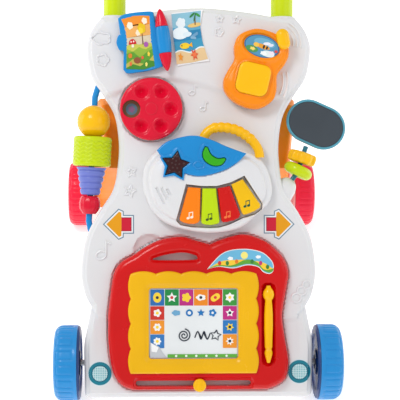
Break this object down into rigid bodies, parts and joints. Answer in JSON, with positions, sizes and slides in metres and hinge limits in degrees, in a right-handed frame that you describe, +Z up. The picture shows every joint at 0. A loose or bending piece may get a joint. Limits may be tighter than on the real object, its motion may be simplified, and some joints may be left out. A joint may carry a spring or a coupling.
{
  "type": "baby walker",
  "caption": "Push-along baby walker: leaning activity panel on wheels with a U handle, splayed rear legs and lift-off toys.",
  "frame": {"origin": "middle of the base box, on the floor", "axes": "+Z up, the play side faces -Y, the child who pushes stands at +Y, +X is the right-hand side seen from the play side"},
  "size_m": [0.3828, 0.4804, 0.5032],
  "materials": {
    "white": "gloss moulded",
    "lime": "gloss moulded",
    "crimson": "gloss moulded",
    "orange": "gloss moulded",
    "yellow": "gloss moulded",
    "blue": "gloss moulded",
    "red": "gloss moulded",
    "teal": "gloss moulded",
    "purple": "satin moulded",
    "pink": "satin moulded",
    "navy": "satin moulded",
    "print": "printed, laminated",
    "green": "gloss moulded",
    "maroon": "translucent gloss",
    "grey": "dull",
    "steel": "drawn wire",
    "mirror": "mirror sheet"
  },
  "bodies": {
    "walker": {"front_panel": "white", "back_cover": "white", "handle_bar": "lime", "left_leg": "orange", "right_leg": "orange", "front_axle": "steel", "rear_left_axle": "steel", "rear_right_axle": "steel", "spindle_cap_top": "crimson", "spindle_cap_bottom": "crimson", "hinge_pin": "steel", "right_picture": "print", "phone_shell": "orange", "phone_antenna": "yellow", "dial_picture": "print", "dial_pivot": "crimson", "bead_rod": "blue", "mirror_stalk": "teal"},
    "page": {"book_page": "blue", "page_picture": "print"},
    "phone_key": {"phone_button": "yellow"},
    "dial_wheel": {"dial": "crimson"},
    "piano": {"piano_shell": "white", "piano_base": "white", "leaf_cover": "blue", "piano_handle": "yellow", "circuit_board": "green", "speaker": "grey"},
    "star": {"star_button": "maroon"},
    "moon": {"moon_button": "green"},
    "orange_key": {"key_orange": "orange"},
    "lime_key": {"key_lime": "lime"},
    "red_key": {"key_red": "red"},
    "yellow_key": {"key_yellow": "yellow"},
    "board": {"board_case": "red", "board_back": "red", "board_frame": "yellow", "drawing_screen": "print"},
    "eraser": {"eraser_slider": "yellow"},
    "pen": {"stylus": "yellow"},
    "ball": {"ball_bead": "yellow"},
    "roller": {"roller_bead": "lime"},
    "bellows": {"bellows_bead": "purple"},
    "cup": {"cup_bead": "crimson"},
    "donut": {"donut_ring": "lime"},
    "gear": {"gear_ring": "yellow"},
    "mirror": {"mirror_frame": "teal", "mirror_plate": "mirror"},
    "front_left": {"front_left_wheel": "blue", "front_left_wheel_inner_disc": "navy", "front_left_hub_cap": "blue"},
    "front_right": {"front_right_wheel": "blue", "front_right_wheel_inner_disc": "navy", "front_right_hub_cap": "blue"},
    "rear_left": {"rear_left_wheel": "crimson", "rear_left_wheel_inner_disc": "pink", "rear_left_hub_cap": "crimson"},
    "rear_right": {"rear_right_wheel": "crimson", "rear_right_wheel_inner_disc": "pink", "rear_right_hub_cap": "crimson"}
  },
  "joints": [
    {"name": "front_left_spin", "type": "hinge", "parent": "walker", "child": "front_left", "pos_m": [-0.17442, -0.17681, 0.05], "axis": [1, 0, 0], "continuous": true},
    {"name": "front_right_spin", "type": "hinge", "parent": "walker", "child": "front_right", "pos_m": [0.16958, -0.17681, 0.05], "axis": [1, 0, 0], "continuous": true},
    {"name": "rear_left_spin", "type": "hinge", "parent": "walker", "child": "rear_left", "pos_m": [-0.17442, 0.19018, 0.05], "axis": [1, 0, 0], "continuous": true},
    {"name": "rear_right_spin", "type": "hinge", "parent": "walker", "child": "rear_right", "pos_m": [0.16958, 0.19018, 0.05], "axis": [1, 0, 0], "continuous": true},
    {"name": "page_turn", "type": "hinge", "parent": "walker", "child": "page", "pos_m": [-0.04863, 0.04699, 0.41067], "axis": [-0.1288, 0.6105, 0.7814], "range_deg": [0, 178]},
    {"name": "phone_press", "type": "slide", "parent": "walker", "child": "phone_key", "axis": [0, 0.788, -0.6157], "range_m": [0, 0.0025], "stiffness_N_per_m": 600, "springref_m": -0.002},
    {"name": "dial_spin", "type": "hinge", "parent": "walker", "child": "dial_wheel", "pos_m": [-0.06442, -0.0056, 0.33881], "axis": [0, -0.788, 0.6157], "continuous": true},
    {"name": "piano_lift", "type": "slide", "parent": "walker", "child": "piano", "axis": [0, -0.788, 0.6157], "range_m": [0, 0.06]},
    {"name": "star_press", "type": "slide", "parent": "piano", "child": "star", "axis": [0, 0.788, -0.6157], "range_m": [0, 0.002], "stiffness_N_per_m": 500, "springref_m": -0.002},
    {"name": "moon_press", "type": "slide", "parent": "piano", "child": "moon", "axis": [0, 0.788, -0.6157], "range_m": [0, 0.002], "stiffness_N_per_m": 500, "springref_m": -0.002},
    {"name": "orange_key_press", "type": "hinge", "parent": "piano", "child": "orange_key", "pos_m": [-0.00843, -0.07628, 0.26459], "axis": [1, 0, 0], "range_deg": [0, 4], "stiffness_Nm_per_rad": 0.8, "springref_deg": -2.86},
    {"name": "lime_key_press", "type": "hinge", "parent": "piano", "child": "lime_key", "pos_m": [0.00958, -0.07689, 0.26381], "axis": [1, 0, 0], "range_deg": [0, 4], "stiffness_Nm_per_rad": 0.8, "springref_deg": -2.86},
    {"name": "red_key_press", "type": "hinge", "parent": "piano", "child": "red_key", "pos_m": [0.02857, -0.07566, 0.26538], "axis": [1, 0, 0], "range_deg": [0, 4], "stiffness_Nm_per_rad": 0.8, "springref_deg": -2.86},
    {"name": "yellow_key_press", "type": "hinge", "parent": "piano", "child": "yellow_key", "pos_m": [0.04557, -0.07197, 0.27011], "axis": [1, 0, 0], "range_deg": [0, 4], "stiffness_Nm_per_rad": 0.8, "springref_deg": -2.86},
    {"name": "board_lift", "type": "slide", "parent": "walker", "child": "board", "axis": [0, -0.788, 0.6157], "range_m": [0, 0.05]},
    {"name": "eraser_slide", "type": "slide", "parent": "board", "child": "eraser", "axis": [1, 0, 0], "range_m": [-0.072, 0.057]},
    {"name": "stylus_lift", "type": "slide", "parent": "board", "child": "pen", "axis": [0, -0.788, 0.6157], "range_m": [0, 0.04]},
    {"name": "ball_spin", "type": "hinge", "parent": "walker", "child": "ball", "pos_m": [-0.13981, 0.00644, 0.31037], "axis": [0.0493, 0.6149, 0.7871], "continuous": true},
    {"name": "roller_spin", "type": "hinge", "parent": "walker", "child": "roller", "pos_m": [-0.14174, -0.01763, 0.27956], "axis": [0.0493, 0.6149, 0.7871], "continuous": true},
    {"name": "bellows_spin", "type": "hinge", "parent": "walker", "child": "bellows", "pos_m": [-0.14366, -0.04158, 0.24891], "axis": [0.0493, 0.6149, 0.7871], "continuous": true},
    {"name": "cup_spin", "type": "hinge", "parent": "walker", "child": "cup", "pos_m": [-0.14516, -0.06036, 0.22487], "axis": [0.0493, 0.6149, 0.7871], "continuous": true},
    {"name": "donut_spin", "type": "hinge", "parent": "walker", "child": "donut", "pos_m": [0.12907, -0.03296, 0.25994], "axis": [0.439, 0.5531, 0.708], "continuous": true},
    {"name": "gear_spin", "type": "hinge", "parent": "walker", "child": "gear", "pos_m": [0.13458, -0.02249, 0.27333], "axis": [0.3152, 0.5843, 0.7478], "continuous": true},
    {"name": "mirror_spin", "type": "hinge", "parent": "walker", "child": "mirror", "pos_m": [0.15257, 0.0046, 0.30801], "axis": [0.4067, 0.5624, 0.7199], "continuous": true}
  ]
}
